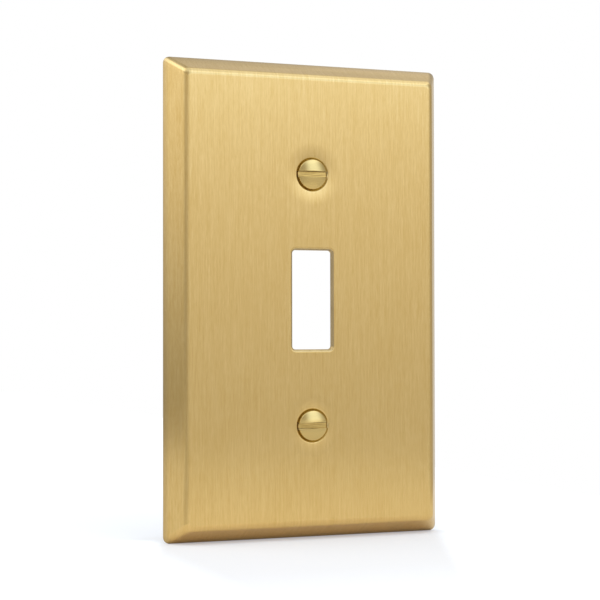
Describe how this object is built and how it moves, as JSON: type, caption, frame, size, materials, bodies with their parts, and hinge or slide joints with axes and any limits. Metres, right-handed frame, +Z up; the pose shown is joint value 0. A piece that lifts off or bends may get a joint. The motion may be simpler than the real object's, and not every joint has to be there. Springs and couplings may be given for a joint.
{
  "type": "toggle switch wall plate",
  "caption": "One-gang wall plate pressed from brushed brass sheet, with a bevelled rim, a toggle slot and slotted oval-head screws in pressed countersinks.",
  "frame": {"origin": "centre of the plate on the wall plane, which is the plane of its back rim", "axes": "+Z up along the plate's height, +X to the right seen from the front, +Y into the wall, so the face looks along -Y"},
  "size_m": [0.071, 0.0144, 0.115],
  "materials": {
    "plate_brass": "brushed along the plate's height, satin lacquer",
    "screw_brass": "turned and plated, bright satin"
  },
  "bodies": {
    "root": {"wall_plate": "plate_brass", "upper_screw": "screw_brass", "lower_screw": "screw_brass"}
  },
  "joints": []
}
